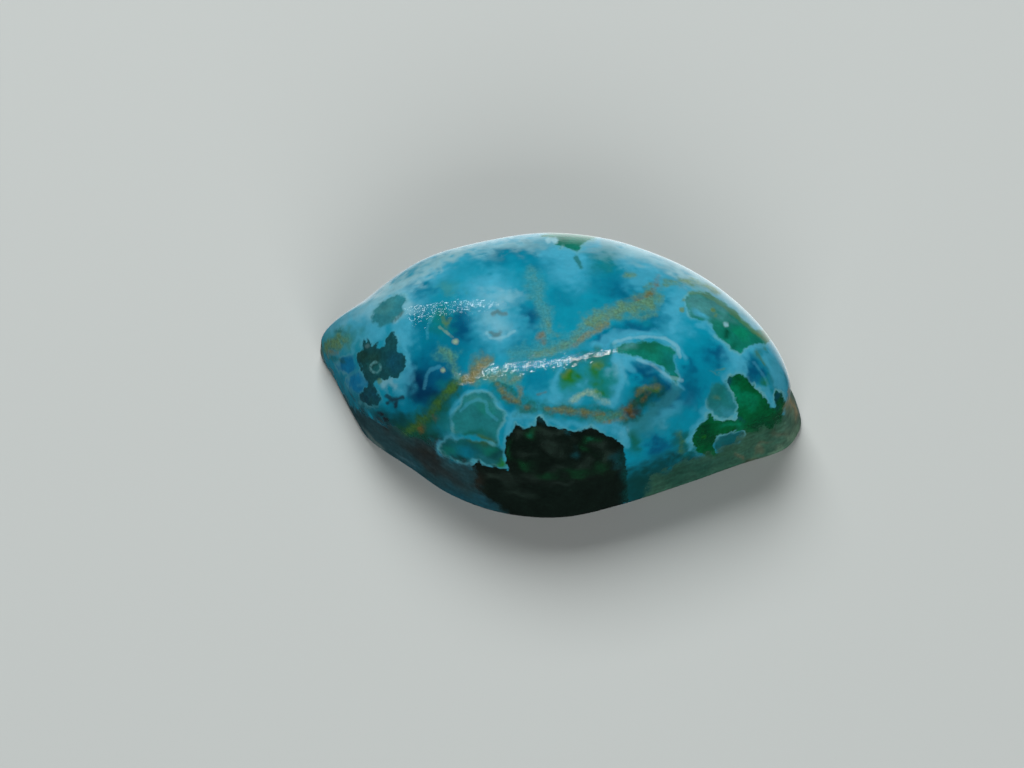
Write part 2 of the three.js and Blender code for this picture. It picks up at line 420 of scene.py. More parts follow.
# Soft clouds, the lowest first: pigment, place, half length, half width, turn in degrees and strength.
BLUE_CLOUDS = [
    # Far edge and crown. The long thin pale clouds that follow the far edge, of pale blue, milk and the pale
    # edge pigment, are painted reflection of the pale glow behind the stone.
    ("pale blue", 400, 294, 84, 13, -31, 0.85), ("milk", 396, 289, 80, 7, -31, 0.6),
    ("pale blue", 505, 243, 50, 9, -10, 0.7), ("milk", 497, 243, 46, 5, -12, 0.5),
    ("sea blue", 418, 291, 12, 12, 0, 0.85), ("sandy teal", 446, 288, 15, 8, -15, 0.6),
    ("pale blue", 486, 290, 30, 23, -15, 0.9), ("sea blue", 505, 255, 30, 11, -8, 0.8),
    ("sea blue", 538, 263, 18, 10, 8, 0.7), ("pale blue", 570, 266, 26, 21, 0, 0.9),
    ("pale blue", 560, 250, 24, 9, 0, 0.6), ("teal", 603, 262, 15, 14, 0, 0.85),
    ("sea blue", 616, 288, 30, 19, 20, 0.95), ("deep blue", 618, 292, 15, 9, 10, 0.45),
    ("sea blue", 562, 297, 17, 11, 0, 0.6), ("pale blue", 646, 263, 38, 12, 25, 0.85),
    ("pale blue", 640, 280, 20, 10, 10, 0.8), ("sea blue", 658, 319, 14, 10, 0, 0.8),
    ("pale blue", 674, 300, 22, 19, -50, 0.9), ("milk", 640, 253, 36, 6, 25, 0.6),
    ("pale blue", 735, 308, 72, 9, 42, 0.8), ("milk", 742, 305, 66, 5, 43, 0.6),
    ("painted edge reflection", 398, 282, 86, 7, -31, 0.4), ("painted edge reflection", 455, 254, 26, 7, -25, 0.4),
    ("painted edge reflection", 520, 245, 40, 8, -7, 0.4), ("painted edge reflection", 612, 250, 40, 10, 22, 0.4),
    ("painted edge reflection", 690, 278, 44, 11, 34, 0.4), ("painted edge reflection", 742, 312, 46, 10, 46, 0.4),
    # Partly painted highlight: the pale blue and milk clouds here and the milk cloud at 500 across lighten
    # the upper streak of gloss.
    ("pale blue", 402, 304, 28, 12, -22, 0.85), ("milk", 404, 312, 16, 6, -10, 0.5),
    ("milk", 500, 298, 24, 7, -8, 0.5), ("painted edge reflection", 586, 249, 12, 6, 0, 0.4),
    # Left of the middle
    ("pale blue", 497, 330, 32, 28, 0, 0.8), ("milk", 494, 322, 17, 13, 0, 0.4),
    ("sea blue", 442, 336, 34, 32, 0, 0.9), ("pale blue", 402, 334, 11, 25, -8, 0.85),
    ("sea blue", 418, 328, 10, 22, 0, 0.75), ("sea blue", 438, 350, 24, 10, 0, 0.6),
    ("sea blue", 474, 347, 14, 11, 0, 0.7), ("sea blue", 521, 344, 17, 13, 0, 0.8),
    ("teal", 440, 322, 17, 15, 0, 0.9), ("jade", 438, 314, 11, 6, -15, 0.6),
    ("leaf", 445, 319, 4, 4, 0, 0.5), ("deep blue", 530, 315, 10, 15, -30, 0.9),
    ("deep blue", 460, 326, 11, 21, 8, 0.95), ("sea blue", 432, 382, 34, 32, 0, 0.9),
    ("deep blue", 435, 378, 26, 26, 0, 0.95), ("ink blue", 416, 383, 13, 22, -8, 1.0),
    ("ink blue", 430, 397, 15, 9, 12, 0.95), ("teal", 446, 384, 7, 11, 0, 0.6),
    ("pale blue", 352, 326, 32, 13, -38, 0.75), ("sandy teal", 346, 340, 20, 13, 0, 0.7),
    ("pale blue", 338, 346, 14, 10, 0, 0.4), ("sea blue", 349, 376, 13, 24, -25, 0.6),
    ("pale blue", 372, 330, 12, 14, 20, 0.7), ("pale blue", 398, 390, 10, 12, 20, 0.65),
    ("milk", 387, 385, 8, 5, 30, 0.6), ("sea blue", 400, 411, 20, 12, 20, 0.7),
    # Middle
    ("pale blue", 556, 396, 28, 15, 0, 0.6), ("sea blue", 536, 380, 16, 12, 0, 0.85),
    ("sea blue", 508, 407, 11, 11, 30, 0.85), ("pale blue", 524, 417, 17, 8, -10, 0.75),
    ("pale blue", 622, 338, 44, 7, -14, 0.9), ("pale blue", 616, 378, 10, 26, 0, 0.9),
    ("milk", 615, 366, 8, 10, 0, 0.4), ("pale blue", 640, 361, 28, 6, 16, 0.85),
    ("deep blue", 602, 337, 15, 6, -24, 0.85), ("deep blue", 634, 327, 24, 7, -24, 0.8),
    ("deep blue", 645, 373, 20, 9, 20, 0.95), ("deep blue", 664, 388, 11, 13, -20, 0.85),
    ("deep blue", 664, 398, 24, 14, -42, 0.95), ("pale blue", 600, 405, 14, 4, 15, 0.6),
    ("sea blue", 617, 330, 15, 6, -20, 0.7), ("teal", 642, 316, 8, 5, -20, 0.5),
    ("sea blue", 661, 305, 9, 5, -25, 0.7), ("basin teal", 586, 380, 34, 21, -5, 0.8),
    ("moss teal", 588, 358, 34, 5, -14, 0.85), ("jade", 603, 378, 11, 15, 0, 0.6),
    ("grass", 569, 376, 11, 9, 0, 1.0), ("grass", 595, 369, 7, 11, 10, 1.0),
    ("grass", 598, 391, 7, 8, -20, 1.0), ("leaf", 566, 373, 5, 4, 0, 0.7),
    ("leaf", 594, 364, 4, 5, 0, 0.7), ("pale blue", 583, 384, 5, 5, 0, 0.5),
    ("dark teal", 642, 396, 14, 9, -40, 0.9), ("brown", 628, 409, 9, 7, -40, 0.9),
    ("olive", 651, 387, 8, 4, -15, 0.7),
    # Over the far edge and the left. The pale blue band along the far edge at 636 across is painted
    # reflection of the pale glow behind the stone, and the milk cloud at 405 across is partly painted
    # highlight on the upper streak of gloss.
    ("sea blue", 424, 289, 9, 8, 0, 0.8), ("milk", 405, 302, 9, 13, 10, 0.6),
    ("milk", 388, 312, 8, 7, 0, 0.8), ("milk", 371, 314, 10, 8, -20, 0.5),
    ("pale blue", 636, 266, 28, 7, 20, 0.5),
    # Right. The thin pale blue clouds along the right edge, from 760 to 783 across, and the milk cloud at 686
    # across on the far edge are painted reflection of the pale glow behind the stone.
    ("growth shade", 675, 441, 14, 9, -25, 0.9), ("milk", 686, 278, 20, 6, 35, 0.7),
    ("pale blue", 780, 366, 6, 20, -15, 0.7), ("pale blue", 760, 332, 6, 16, -35, 0.6),
    ("pale blue", 676, 330, 17, 11, 0, 0.55), ("sea blue", 702, 368, 14, 20, 0, 0.5),
    ("deep blue", 690, 391, 10, 16, 0, 0.75), ("deep blue", 715, 354, 15, 9, 20, 0.9),
    ("deep blue", 686, 366, 6, 12, 0, 0.7), ("pale blue", 737, 358, 14, 11, -25, 0.9),
    ("pale blue", 758, 347, 17, 6, -10, 0.8), ("deep blue", 752, 371, 12, 12, 40, 0.95),
    ("grey teal", 776, 372, 10, 26, -16, 0.85), ("pale blue", 783, 380, 6, 28, -18, 0.8),
    ("olive", 759, 356, 4, 8, -25, 0.85), ("grass", 764, 383, 4, 9, -10, 0.8),
    ("leaf", 717, 369, 5, 2, -15, 0.6),
    # Front. The dark teal, brown and maroon clouds at the lower left, from 366 to 438 across, darken the dome
    # towards the wall: painted shade and painted reflection of a dark object.
    ("grey teal", 648, 424, 36, 13, -30, 0.8), ("pale blue", 623, 430, 11, 8, 40, 0.8),
    ("milk", 622, 432, 6, 4, 40, 0.5), ("pale blue", 668, 412, 24, 7, -35, 0.55),
    ("deep blue", 655, 446, 12, 12, 0, 0.95), ("jade shade", 633, 441, 8, 12, 0, 0.9),
    ("dark teal", 644, 478, 50, 18, -14, 0.95), ("dark teal", 640, 498, 44, 28, -10, 0.95),
    ("dark teal", 478, 498, 34, 16, 32, 0.95), ("dark teal", 676, 459, 32, 9, -18, 0.9),
    ("jade shade", 688, 444, 11, 12, 0, 0.7), ("dark teal", 398, 426, 30, 12, 32, 0.9),
    ("dark teal", 366, 408, 22, 8, 42, 0.7), ("dark teal", 424, 440, 44, 15, 28, 1.0),
    ("moss", 430, 420, 30, 15, -42, 0.8), ("moss teal", 450, 428, 11, 15, 0, 0.7),
    ("brown", 438, 447, 10, 5, 20, 0.6), ("maroon", 382, 424, 12, 8, 20, 0.6),
    ("moss teal", 744, 462, 66, 15, -20, 0.9), ("jade shade", 792, 430, 14, 24, -30, 0.8),
    # Over the crown, on the hidden side
    ("sea blue", 480, 205, 60, 26, 0, 0.8), ("pale blue", 560, 210, 46, 18, 5, 0.8),
    ("deep blue", 550, 182, 30, 14, 10, 0.8), ("milk", 640, 222, 36, 8, 20, 0.5),
    ("deep blue", 676, 196, 28, 16, 30, 0.7), ("sea blue", 720, 240, 40, 24, 30, 0.7),
    ("teal", 430, 214, 30, 16, -30, 0.7), ("pale blue", 390, 246, 34, 12, -40, 0.8),
    ("deep blue", 412, 238, 18, 9, -30, 0.7), ("pale blue", 780, 290, 20, 24, 40, 0.7),
    ("deep blue", 470, 224, 22, 9, -20, 0.9), ("pale blue", 515, 222, 30, 8, -5, 0.8),
    ("ink blue", 600, 218, 16, 8, 10, 0.7), ("deep blue", 722, 264, 20, 8, 40, 0.9),
    ("pale blue", 690, 251, 24, 8, 30, 0.8), ("teal", 640, 236, 18, 7, 20, 0.7),
    ("deep blue", 376, 268, 20, 8, -35, 0.9), ("sea blue", 348, 292, 16, 10, -45, 0.7),
    ("dark teal", 620, 150, 60, 14, 0, 0.8), ("teal", 420, 180, 40, 18, -40, 0.8),
    ("sea blue", 800, 320, 20, 30, 20, 0.7), ("deep blue", 806, 290, 14, 16, 30, 0.8),
]
GROWTH_CLOUDS = [
    ("jade", 485, 408, 5, 7, 0, 0.6), ("sandy teal", 478, 402, 13, 6, 0, 0.4),
    ("jade shade", 466, 433, 22, 5, 4, 0.7), ("sea blue", 462, 449, 12, 5, 0, 0.6),
    ("dark teal", 492, 453, 20, 14, 20, 0.75), ("jade", 486, 450, 8, 6, 0, 0.6),
    ("olive", 479, 441, 10, 4, 15, 0.75), ("dark teal", 458, 455, 4.5, 4, 0, 0.95),
    ("grass", 501, 466, 6, 4, 0, 0.95), ("jade", 447, 450, 6, 6, 0, 0.5),
    ("jade", 716, 392, 8, 7, 0, 0.35), ("sand", 714, 393, 4, 2.5, 30, 0.6),
    ("pale blue", 726, 411, 10, 5, 0, 0.4), ("deep blue", 344, 364, 8, 9, 0, 0.35),
    ("pale blue", 360, 378, 4, 4, 0, 0.4),
]
SEAM_CLOUDS = [
    ("brown", 628, 410, 10, 9, -40, 0.95), ("dark teal", 646, 398, 9, 7, -40, 0.6),
    ("olive", 651, 387, 10, 4, -10, 0.7), ("rust", 626, 403, 6, 4, -30, 0.5),
    ("rust", 420, 426, 8, 5, 40, 0.6), ("olive", 447, 391, 8, 5, -45, 0.6),
    ("grey teal", 331, 348, 13, 8, 0, 0.8), ("growth teal", 611, 329, 9, 5, -20, 0.9),
    ("rust", 474, 376, 8, 5, -30, 0.5), ("ochre", 600, 318, 14, 5, -25, 0.4),
]
ISLAND_CLOUDS = [
    ("jade grey", 697, 303, 20, 12, 30, 0.95), ("jade grey", 716, 306, 26, 7, 40, 0.85),
    ("jade", 736, 338, 15, 11, 45, 0.95), ("emerald light", 741, 333, 8, 3.5, 45, 0.85),
    ("emerald shade", 727, 330, 4, 4, 0, 0.8), ("emerald shade", 736, 345, 5, 4, 0, 0.5),
    ("olive", 758, 335, 10, 5, 20, 0.6), ("pale blue", 697, 312, 9, 6, 40, 0.95),
    ("jade grey", 624, 346, 14, 5, -5, 0.8), ("jade shade", 645, 349, 14, 6, 5, 0.8),
    ("teal", 669, 366, 8, 14, -10, 0.6), ("jade grey", 384, 303, 18, 6, -30, 0.6),
    ("sand", 395, 317, 7, 2.5, -45, 0.5), ("sandy teal", 545, 237, 14, 3, -10, 0.7),
]
POOL_CLOUDS = [
    ("pool green", 364, 358, 10, 12, 0, 0.8), ("pool blue", 395, 362, 10, 12, 0, 0.7),
    ("pool blue", 370, 395, 9, 10, 0, 0.6), ("growth teal", 373.6, 366.9, 4.5, 4.5, 0, 0.5),
    ("pool grey", 541, 435, 10, 5, 0, 0.55), ("pool grey", 557, 433, 7, 4, 0, 0.5),
    ("pool grey", 519, 435, 6, 5, 0, 0.45), ("pool grey", 550, 447, 8, 5, 20, 0.45),
    ("pool grey", 528, 453, 7, 4, 0, 0.4), ("pool grey", 562, 453, 6, 5, 0, 0.4),
    ("pool grey", 600, 446, 8, 6, 30, 0.5), ("pool grey", 609, 457, 6, 6, 0, 0.5),
    ("pool grey", 585, 463, 9, 4, -10, 0.4), ("pool grey", 558, 468, 10, 4, 0, 0.4),
    ("pool grey", 532, 478, 11, 5, 0, 0.4), ("pool grey", 502, 480, 14, 6, 20, 0.35),
    ("pool grey", 516, 493, 14, 5, 0, 0.35), ("pool grey", 486, 474, 8, 6, 0, 0.4),
    ("pool grey", 557, 483, 12, 3, -10, 0.45), ("pool grey", 575, 444, 5, 4, 0, 0.4),
    ("pool mottle", 524, 465, 9, 5, 20, 0.5), ("pool mottle", 545, 475, 10, 4, 0, 0.35),
    ("pool mottle", 576, 471, 14, 5, -10, 0.35), ("pool mottle", 601, 467, 8, 8, 0, 0.35),
    ("pool mottle", 508, 452, 4, 10, 0, 0.5), ("pool mottle", 588, 451, 6, 3, 30, 0.5),
    ("pool mottle", 530, 436, 6, 5, 0, 0.6), ("pool mottle", 592, 439, 6, 5, 0, 0.6),
    ("pool teal", 568, 434, 6, 5, 40, 0.6), ("pool teal", 577, 454, 4, 3, 0, 0.6),
    ("pool teal", 540, 421, 4, 5, 0, 0.6), ("pool teal", 616, 462, 5, 8, 0, 0.6),
    ("jade shade", 530, 436, 3, 2.5, 40, 0.8), ("jade shade", 592, 439, 3, 2.5, 0, 0.8),
    ("pool black", 524, 443, 5, 3, 20, 0.8), ("pool black", 583, 456, 4, 3, 0, 0.8),
    ("pool black", 556, 460, 7, 3, 0, 0.8), ("pool black", 574, 433, 4, 3, 0, 0.8),
    ("pool black", 508, 467, 6, 4, 20, 0.8), ("pool black", 552, 492, 22, 5, -12, 0.8),
    # The dark brown cloud at 472 across is painted reflection of a dark object and painted shade.
    ("dark teal", 626, 474, 8, 44, 0, 0.95), ("painted dark reflection", 472, 486, 8, 16, 0, 0.8),
    ("emerald light", 735, 393, 9, 13, -20, 0.8), ("emerald light", 748, 402, 9, 7, 30, 0.5),
    ("emerald light", 730, 426, 12, 5, 0, 0.7), ("emerald shade", 765, 422, 22, 9, 0, 0.9),
    ("emerald shade", 737, 379, 6, 6, 0, 0.6), ("emerald shade", 703, 433, 13, 11, 30, 0.85),
    ("emerald shade", 779, 405, 4, 15, 0, 0.8), ("pool blue", 776, 397, 4, 9, 0, 0.8),
    ("pool blue", 727, 381, 4, 3, 0, 0.8), ("pool blue", 738, 416, 4, 4, 0, 0.7),
    ("grass", 701, 434, 4, 2.5, 20, 0.7), ("pool mottle", 500, 176, 20, 8, 0, 0.6),
]
WALL_CLOUDS = [
    # At the lower left the dark brown clouds, at 430 and 381 across, are painted reflection of a dark object
    # and painted shade.
    ("wall grey", 328, 366, 34, 8, 62, 0.9), ("painted dark reflection", 430, 462, 48, 12, 33, 0.9),
    ("wall blue", 395, 463, 60, 6, 36, 0.6), ("wall blue", 470, 500, 34, 7, 24, 0.7),
    # The thin wall grey line at 378 across, along the wall's lower edge, is painted reflection of the bright
    # floor.
    ("wall grey", 378, 446, 34, 4, 42, 0.6), ("painted dark reflection", 381, 425, 13, 8, 35, 0.7),
    ("heel shade", 690, 468, 52, 14, -18, 0.85), ("heel brown", 796, 402, 10, 27, -20, 1.0),
    ("heel fleck", 779, 433, 7, 4, -30, 0.7), ("heel brown", 818, 400, 20, 12, 0, 0.7),
    ("heel light", 830, 424, 18, 14, 0, 0.7), ("heel light", 787, 411, 5, 8, 0, 0.6),
    ("heel light", 791, 434, 12, 12, -30, 0.8), ("heel light", 770, 454, 26, 4, -25, 0.7),
    ("heel fleck", 748, 459, 10, 4, -20, 0.6), ("brown", 780, 432, 3, 2, -30, 0.7),
    ("brown", 742, 457, 4, 2, -30, 0.6), ("heel fleck", 735, 455, 3, 3, 0, 0.7),
    ("heel fleck", 762, 447, 9, 2, -30, 0.5), ("heel shade", 764, 434, 22, 4, -14, 0.6),
]
CLOUD_FALL = 1.3  # how far a cloud has thinned at its half length
CLOUD_POWER = 1.3  # 1 fades evenly, and more gives a flatter middle
# Where an edge blends in: place, half length, half width and the share of its pale rim that is left.
BLENDED_EDGES = [
    (380, 368, 34, 46, 0.25), (626, 484, 22, 46, 0.0), (480, 488, 34, 26, 0.0),
    (560, 524, 84, 18, 0.0), (745, 450, 60, 14, 0.2), (470, 436, 26, 6, 0.1),
    (712, 388, 14, 14, 0.1), (388, 311, 26, 24, 0.35), (506, 450, 12, 24, 0.3),
    (692, 440, 12, 20, 0.5), (645, 360, 40, 26, 0.5), (566, 430, 62, 16, 0.6),
]
BLEND_ENDS = (0.7, 1.2)  # in half sizes, from where the rim starts to come back to where it is full
# How fully the ground wall covers what lies under it. The hidden side rises to the seen value at the ends.
FROST = {"hidden": 0.55, "seen": 0.97}
ENDS_START = (8.0, 13.5)  # millimetres from the middle, either way
HEEL_WALL_STARTS = 11.0  # millimetres along the stone, on the hidden side
HEEL_EDGE = {"pitch": 1.0, "reach": 2.0}  # millimetres, how the heel's wall wanders into the rest
PITS_END = (560, 650)  # pixels across: the polish is pitted from the tip up to here, and smooth beyond


def linear(hex_colour):
    """An sRGB hex colour as linear red, green and blue."""
    shares = [int(hex_colour[i:i + 2], 16) / 255 for i in (1, 3, 5)]
    return tuple(s / 12.92 if s <= 0.04045 else ((s + 0.055) / 1.055) ** 2.4 for s in shares)


def smoothstep(low, high, value):
    """0 at low, 1 at high and a smooth rise between."""
    share = np.clip((value - low) / (high - low), 0, 1)
    return share * share * (3 - 2 * share)


def between(low, high, share):
    """The value a share of the way from low to high."""
    return low + (high - low) * share


# The stone's shape
def closed_curve(points, count):
    """Evenly numbered places on a closed Catmull-Rom curve through the points."""
    points = np.array(points)
    along = np.arange(count) * len(points) / count
    start = along.astype(int)
    t = (along - start)[:, None]
    before, here, after, beyond = (points[(start + k) % len(points)] for k in (-1, 0, 1, 2))
    leave = (after - before) / 2
    arrive = (beyond - here) / 2
    curve = 3 * (after - here) - 2 * leave - arrive
    twist = 2 * (here - after) + leave + arrive
    return here + leave * t + curve * t**2 + twist * t**3


def rounded(points):
    """The points with corners rounded off: each is the mean of itself and its neighbours."""
    points = np.array(points)
    reach = range(-CORNER_REACH, CORNER_REACH + 1)
    return np.mean([np.roll(points, k, axis=0) for k in reach], axis=0)


def even_rises():
    """Angles of rise over the dome that space its rings evenly along the surface."""
    rise = np.linspace(0, math.pi / 2, 4000)
    out = np.cos(rise).clip(0) ** (2 / CROWN_POWER) * OUTLINE[0][0]
    up = np.sin(rise) ** (2 / CROWN_POWER) * (HEIGHT - GIRDLE["body"])
    length = np.r_[0, np.cumsum(np.hypot(np.diff(out), np.diff(up)))]
    return np.interp(np.linspace(0, length[-1], DOME_STEPS + 1)[1:-1], length, rise)


def stone_rings():
    """The stone's surface as rings of points in millimetres, from its back up to just under its crown,
    with each point's height over the girdle."""
    crown = np.array(CROWN_AT)
    edge = closed_curve(OUTLINE, ROUND)
    round_edge = closed_curve(rounded(OUTLINE), ROUND)
    inward = crown - edge
    inward /= np.linalg.norm(inward, axis=1)[:, None]
    body = smoothstep(*TIP_ENDS, edge[:, 0])
    heel = smoothstep(*HEEL_STARTS, edge[:, 0])
    girdle = between(GIRDLE["tip"], GIRDLE["body"], body)
    lean = between(WALL_LEAN["tip"], WALL_LEAN["body"], body)
    lean += (WALL_LEAN["heel"] - WALL_LEAN["body"]) * heel
    shoulder = between(SHOULDER["tip"], SHOULDER["body"], body)

    rings = []
    back_edge = edge + inward * BEVEL
    for share in np.linspace(0, 1, BACK_STEPS + 1)[1:]:
        rings.append(np.c_[back_edge * share, np.zeros(ROUND)])
    for share in np.linspace(0, 1, BEVEL_STEPS + 1)[1:]:
        turn = share * math.pi / 2
        plan = edge + inward * BEVEL * (1 - math.sin(turn))
        rings.append(np.c_[plan, np.full(ROUND, BEVEL * (1 - math.cos(turn)))])
    for share in np.linspace(0, 1, WALL_STEPS + 1)[1:]:
        plan = edge + inward * (lean * share)[:, None]
        rings.append(np.c_[plan, between(BEVEL, girdle, share)])
    girdle_edge = edge + inward * lean[:, None]
    for rise in even_rises():
        reach = math.cos(rise) ** (2 / CROWN_POWER)
        power = between(SHOULDER["body"], shoulder, reach**2)
        contour = between(round_edge, girdle_edge, reach**CONTOUR_EASE)
        plan = between(crown, contour, reach)
        rings.append(np.c_[plan, between(girdle, HEIGHT, math.sin(rise) ** (2 / power))])
    rings = np.array(rings)
    return rings, rings[:, :, 2] - girdle


def facing_viewer(rings):
    """How far each point faces the viewer: 1 straight on, 0 edge-on and negative when turned away."""
    around = np.roll(rings, -1, axis=1) - np.roll(rings, 1, axis=1)
    upward = np.gradient(rings, axis=0)
    normals = np.cross(around, upward)
    normals /= np.linalg.norm(normals, axis=2)[:, :, None]
    return normals @ TO_VIEWER


def photo_pixels(points):
    """Where points of the stone show in the photograph."""
    offset = points - AIM
    scale = PIXELS_PER_MM * VIEW_DISTANCE / (VIEW_DISTANCE - offset @ TO_VIEWER)
    across = PHOTO_MIDDLE[0] + offset @ VIEW_RIGHT * scale
    down = PHOTO_MIDDLE[1] - offset @ VIEW_UP * scale
    return np.stack([across, down], axis=-1)


def marking_chart(rings, facing):
    """The pixel that marks each point of the stone, and whether the photograph hides the point. Faces that
    it shows take the pixel where they show. From there the chart goes on outward over the hidden side, at
    the same scale."""
    chart = photo_pixels(rings)
    crown = chart[-1].mean(axis=0)
    hidden = np.zeros(facing.shape, bool)
    hidden[:BACK_STEPS] = True
    for ring in range(len(rings) - 2, BACK_STEPS - 1, -1):
        hidden[ring] = hidden[ring + 1] | (facing[ring] < EDGE_ON)
        above = chart[ring + 1]
        outward = above - crown
        outward /= np.linalg.norm(outward, axis=1)[:, None]
        step = np.linalg.norm(rings[ring] - rings[ring + 1], axis=1)[:, None] * PIXELS_PER_MM
        chart[ring] = np.where(hidden[ring][:, None], above + outward * step, chart[ring])
    return chart, hidden


def worn_shares(rings, over_girdle):
    """Where the ground faces carry chips, fibres and saw marks."""
    wall = smoothstep(*WALL_EDGE, over_girdle) * smoothstep(0.0, 2 * BEVEL, rings[:, :, 2])
    back = np.zeros(over_girdle.shape)
    back[:BACK_STEPS - 2] = 1.0
    return {
        "chipped": wall * smoothstep(*CHIPS_START, rings[:, :, 0]),
        "fibred": wall * (1 - smoothstep(*FIBRES_END, rings[:, :, 0])),
        "sawn": back,
    }


# Painting on the chart
def wander(places, pitch, seed):
    """A smooth random field from about -1 to 1, with waves of about the given pitch."""
    waves = 12
    random = np.random.default_rng(seed)
    turns = random.normal(size=(waves, places.shape[1]))
    turns *= (2 * math.pi / pitch / np.linalg.norm(turns, axis=1) * random.uniform(0.6, 1.5, waves))[:, None]
    phases = random.uniform(0, 2 * math.pi, waves)
    return np.sin(places @ turns.T + phases).sum(axis=1) / math.sqrt(waves)


def drifted(chart, points, waves, seed):
    """The chart with its places drifted by waves, each a pitch and a reach in millimetres."""
    for pitch, reach in waves:
        drift = np.c_[wander(points, pitch, seed), wander(points, pitch, seed + 1)]
        chart = chart + drift * reach * PIXELS_PER_MM
        seed += 2
    return chart


def path_distance(places, path):
    """Distance from each place to a path, in pixels."""
    path = np.array(path, float)
    nearest = np.full(len(places), np.inf)
    for start, end in zip(path[:-1], path[1:]):
        along = end - start
        share = np.clip((places - start) @ along / (along @ along), 0, 1)
        nearest = np.minimum(nearest, np.linalg.norm(places - start - share[:, None] * along, axis=1))
    return nearest


def patch_depth(places, outline):
    """How far inside an outline each place is, in millimetres; outside is negative."""
    outline = np.array(outline, float)
    closed = np.vstack([outline, outline[:1]])
    inside = np.zeros(len(places), bool)
    for (x0, y0), (x1, y1) in zip(closed[:-1], closed[1:]):
        if y0 == y1:
            continue
        crosses = (y0 > places[:, 1]) != (y1 > places[:, 1])
        inside ^= crosses & (places[:, 0] < x0 + (places[:, 1] - y0) * (x1 - x0) / (y1 - y0))
    return np.where(inside, 1, -1) * path_distance(places, closed) / PIXELS_PER_MM


def patch_marks(patches, places):
    """Patches, each a pigment and an outline, as pigments and depths."""
    return [(pigment, patch_depth(places, outline)) for pigment, outline in patches]


def line_marks(lines, places):
    """Lines, each a pigment, a half width and a path, as pigments and depths in millimetres."""
    marks = []
    for pigment, half_width, path in lines:
        marks.append((pigment, (half_width - path_distance(places, path)) / PIXELS_PER_MM))
    return marks


def dot_depth(places, x, y, radius):
    """How far inside a dot each place is, in millimetres; outside is negative."""
    return (radius - np.hypot(places[:, 0] - x, places[:, 1] - y)) / PIXELS_PER_MM


def dot_marks(dots, places):
    """Dots, each a pigment, a middle and a radius, as pigments and depths."""
    return [(pigment, dot_depth(places, x, y, radius)) for pigment, x, y, radius in dots]


def paint_clouds(colour, places, clouds):
    """Lays soft oval clouds of pigment over a colour."""
    for pigment, x, y, half_length, half_width, turn, strength in clouds:
        turn = math.radians(turn)
        right = places[:, 0] - x
        down = places[:, 1] - y
        along = (right * math.cos(turn) + down * math.sin(turn)) / half_length
        across = (down * math.cos(turn) - right * math.sin(turn)) / half_width
        cover = strength * np.exp(-CLOUD_FALL * (along**2 + across**2) ** CLOUD_POWER)
        colour += (np.array(linear(PIGMENT[pigment])) - colour) * cover[:, None]
    return colour


def paint_layer(marks, clouds, places):
    """A layer of marks, each a pigment and its depth: the layer's own depth, and its colour under clouds."""
    depths = np.array([depth for _, depth in marks])
    pigments = np.array([linear(PIGMENT[pigment]) for pigment, _ in marks])
    return depths.max(axis=0), paint_clouds(pigments[depths.argmax(axis=0)], places, clouds)


def markings(rings, over_girdle):
    """The stone's markings at each point of the rings: two ground colours, each layer of marks as its
    depth and colour, and the shares that vary over the surface."""
    points = rings.reshape(-1, 3)
    chart, hidden = marking_chart(rings, facing_viewer(rings))
    chart = chart.reshape(-1, 2)
    hidden = hidden.reshape(-1)
    loose = drifted(chart, points, NEAR_DRIFT, SEED)
    beneath = drifted(chart, points, DEEP_DRIFT, SEED + 4)
    plain = np.tile(linear(PIGMENT["mid blue"]), (len(points), 1))
    grounds = {
        "ground_colour": paint_clouds(plain.copy(), loose, BLUE_CLOUDS),
        "ground_colour_beneath": paint_clouds(plain.copy(), beneath, BLUE_CLOUDS),
    }

    bubble = BUBBLE_WALL / PIXELS_PER_MM - abs(dot_depth(chart, *BUBBLE))
    emerald = np.minimum(patch_depth(chart, EMERALD_POOL), -patch_depth(chart, WALL_ISLAND))
    unseen_wall = np.where(hidden, -over_girdle.reshape(-1), -1.0)
    wavering = points[:, 0] + HEEL_EDGE["reach"] * wander(points, HEEL_EDGE["pitch"], SEED + 8)
    heel = wavering > HEEL_WALL_STARTS
    main_wall = np.maximum(patch_depth(chart, LEFT_WALL), np.where(heel, -1.0, unseen_wall))
    heel_wall = np.maximum(patch_depth(chart, RIGHT_WALL), np.where(heel, unseen_wall, -1.0))
    layers = {
        "band": paint_layer(line_marks(PALE_BANDS, loose), [], loose),
        "growth": paint_layer(patch_marks(GROWTHS, chart) + dot_marks(DISCS, chart), GROWTH_CLOUDS, loose),
        "seam": paint_layer(line_marks(SEAMS, chart) + patch_marks(SEAM_PATCHES, chart), SEAM_CLOUDS, loose),
        "island": paint_layer(patch_marks(ISLANDS, chart), ISLAND_CLOUDS, loose),
        "vein": paint_layer(line_marks(VEINS, chart), [], chart),
        "pool": paint_layer(patch_marks(POOLS, chart) + [("emerald", emerald)], POOL_CLOUDS, loose),
        "thread": paint_layer(line_marks(THREADS, chart), [], chart),
        "spot": paint_layer(
            dot_marks(SPOTS, chart) + line_marks(DASHES, chart) + [("rim", bubble)], [], chart),
        "wall": paint_layer([("wall teal", main_wall), ("heel green", heel_wall)], WALL_CLOUDS, loose),
    }

    rim = np.ones(len(points))
    for x, y, half_length, half_width, left in BLENDED_EDGES:
        away = np.hypot((chart[:, 0] - x) / half_length, (chart[:, 1] - y) / half_width)
        rim *= between(left, 1.0, smoothstep(*BLEND_ENDS, away))
    near_ends = smoothstep(*ENDS_START, np.abs(points[:, 0]))
    hidden_frost = between(FROST["hidden"], FROST["seen"], near_ends)
    shares = {
        "rim": rim,
        "pitted": 1 - smoothstep(*PITS_END, chart[:, 0]),
        "frosted": np.where(hidden, hidden_frost, FROST["seen"]),
    }
    for name, share in worn_shares(rings, over_girdle).items():
        shares[name] = share.reshape(-1)
    return grounds, layers, shares


def with_poles(values):
    """Values at the rings' points, followed by those at the middle of the back and at the crown."""
    return np.concatenate([values, values[:ROUND].mean(axis=0)[None], values[-ROUND:].mean(axis=0)[None]])


